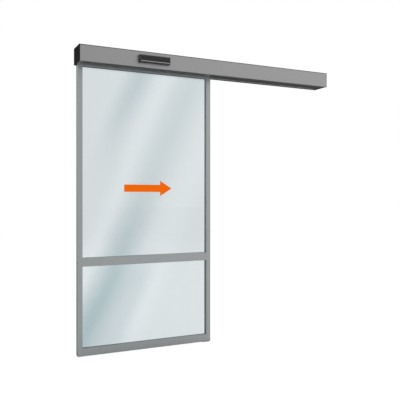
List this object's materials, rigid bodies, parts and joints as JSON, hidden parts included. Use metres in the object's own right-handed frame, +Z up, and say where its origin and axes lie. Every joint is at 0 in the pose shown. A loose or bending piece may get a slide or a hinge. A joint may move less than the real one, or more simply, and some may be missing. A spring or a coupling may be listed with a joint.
{
  "type": "automatic sliding door",
  "caption": "Single glazed sliding door leaf hung from a slim wall-mounted header with a hinged front cover, belt drive, motion sensor and floor guide.",
  "frame": {"origin": "centre of the header's wall bolts, on the wall plane", "axes": "+X the way the leaf opens, +Y into the wall, +Z up"},
  "size_m": [2.15, 0.1933, 2.22],
  "materials": {
    "profile_anodised": "satin anodised extrusion",
    "cover_anodised": "satin anodised, brushed along its length",
    "leaf_anodised": "satin anodised extrusion",
    "cap_black": "fine-grained black moulding",
    "rubber_black": "matt black rubber",
    "brush_black": "fine black bristles",
    "rail_steel": "ground running edge",
    "zinc_steel": "bright zinc plate",
    "cast_metal": "die-cast, bead-blasted",
    "motor_black": "satin black paint",
    "unit_grey": "powder coat",
    "supply_steel": "folded sheet steel",
    "battery_wrap": "shrink sleeve",
    "belt_black": "moulded polyurethane belt",
    "guide_plastic": "sliding plastic",
    "wheel_plastic": "cast polyamide",
    "clamp_metal": "milled",
    "glass_clear": "laminated safety glass with a cool tint",
    "arrow_film": "orange adhesive film",
    "sensor_black": "smooth dark moulding",
    "sensor_lens": "smoked window",
    "sensor_chrome": "polished line",
    "board_green": "solder mask"
  },
  "bodies": {
    "header": {"carrier_profile": "profile_anodised", "end_cap_left": "cap_black", "end_cap_right": "cap_black", "cap_screws": "zinc_steel", "rail_damper": "rubber_black", "running_rail": "rail_steel", "stop_brackets": "cast_metal", "buffers": "rubber_black", "motor": "motor_black", "gearbox": "cast_metal", "motor_bracket": "zinc_steel", "control_unit": "unit_grey", "power_supply": "supply_steel", "battery_pack": "battery_wrap", "idler_bracket": "zinc_steel", "idler_axle": "rail_steel", "tension_screw": "zinc_steel", "slot_bolts": "zinc_steel", "toothed_belt": "belt_black", "cable_grommet": "rubber_black", "floor_plate": "rail_steel", "guide_block": "guide_plastic"},
    "cover": {"front_cover": "cover_anodised", "cover_seal": "rubber_black", "cover_clips": "zinc_steel", "sensor_housing": "sensor_black", "sensor_lens": "sensor_lens", "sensor_trim": "sensor_chrome", "sensor_board": "board_green"},
    "leaf": {"stile_left": "leaf_anodised", "stile_right": "leaf_anodised", "top_rail": "leaf_anodised", "mid_rail": "leaf_anodised", "bottom_rail": "leaf_anodised", "glass_upper": "glass_clear", "glass_lower": "glass_clear", "gaskets_upper": "rubber_black", "gaskets_lower": "rubber_black", "setting_blocks": "guide_plastic", "slide_arrow": "arrow_film", "closing_seal": "rubber_black", "bottom_brush": "brush_black", "corner_screws": "zinc_steel", "hanger_bolts": "zinc_steel", "carriage_left": "zinc_steel", "carriage_right": "zinc_steel", "axles": "rail_steel", "clamp_upper": "clamp_metal", "clamp_lower": "clamp_metal", "clamp_screws": "zinc_steel"},
    "roller_1": {"wheel_1": "wheel_plastic"},
    "roller_2": {"wheel_2": "wheel_plastic"},
    "roller_3": {"wheel_3": "wheel_plastic"},
    "roller_4": {"wheel_4": "wheel_plastic"},
    "anti_lift_1": {"lift_roller_1": "wheel_plastic"},
    "anti_lift_2": {"lift_roller_2": "wheel_plastic"},
    "drive": {"drive_pulley": "cast_metal", "drive_shaft": "rail_steel"},
    "idler": {"idler_pulley": "cast_metal", "idler_bearing": "rail_steel"}
  },
  "joints": [
    {"name": "leaf_slide", "type": "slide", "parent": "header", "child": "leaf", "axis": [1, 0, 0], "range_m": [0, 1], "deforming": ["toothed_belt"]},
    {"name": "cover_hinge", "type": "hinge", "parent": "header", "child": "cover", "pos_m": [0, -0.1585, 0.0535], "axis": [-1, 0, 0], "range_deg": [0, 95]},
    {"name": "wheel_1_spin", "type": "hinge", "parent": "leaf", "child": "roller_1", "pos_m": [-0.948, -0.0395, 0.026], "axis": [0, 1, 0], "continuous": true},
    {"name": "wheel_2_spin", "type": "hinge", "parent": "leaf", "child": "roller_2", "pos_m": [-0.878, -0.0395, 0.026], "axis": [0, 1, 0], "continuous": true},
    {"name": "wheel_3_spin", "type": "hinge", "parent": "leaf", "child": "roller_3", "pos_m": [-0.183, -0.0395, 0.026], "axis": [0, 1, 0], "continuous": true},
    {"name": "wheel_4_spin", "type": "hinge", "parent": "leaf", "child": "roller_4", "pos_m": [-0.113, -0.0395, 0.026], "axis": [0, 1, 0], "continuous": true},
    {"name": "lift_roller_1_spin", "type": "hinge", "parent": "leaf", "child": "anti_lift_1", "pos_m": [-0.913, -0.0395, -0.0135], "axis": [0, 1, 0], "continuous": true},
    {"name": "lift_roller_2_spin", "type": "hinge", "parent": "leaf", "child": "anti_lift_2", "pos_m": [-0.148, -0.0395, -0.0135], "axis": [0, 1, 0], "continuous": true},
    {"name": "drive_pulley_spin", "type": "hinge", "parent": "header", "child": "drive", "pos_m": [0.95, -0.077, 0.012], "axis": [0, 1, 0], "continuous": true},
    {"name": "idler_pulley_spin", "type": "hinge", "parent": "header", "child": "idler", "pos_m": [-1, -0.077, 0.012], "axis": [0, 1, 0], "continuous": true}
  ],
  "couplings": [
    {"joint": "wheel_1_spin", "follows": "leaf_slide", "rad_per_m": 55.556},
    {"joint": "wheel_2_spin", "follows": "leaf_slide", "rad_per_m": 55.556},
    {"joint": "wheel_3_spin", "follows": "leaf_slide", "rad_per_m": 55.556},
    {"joint": "wheel_4_spin", "follows": "leaf_slide", "rad_per_m": 55.556},
    {"joint": "lift_roller_1_spin", "follows": "leaf_slide", "rad_per_m": -111.11},
    {"joint": "lift_roller_2_spin", "follows": "leaf_slide", "rad_per_m": -111.11},
    {"joint": "drive_pulley_spin", "follows": "leaf_slide", "rad_per_m": -39.27},
    {"joint": "idler_pulley_spin", "follows": "leaf_slide", "rad_per_m": -39.27}
  ]
}
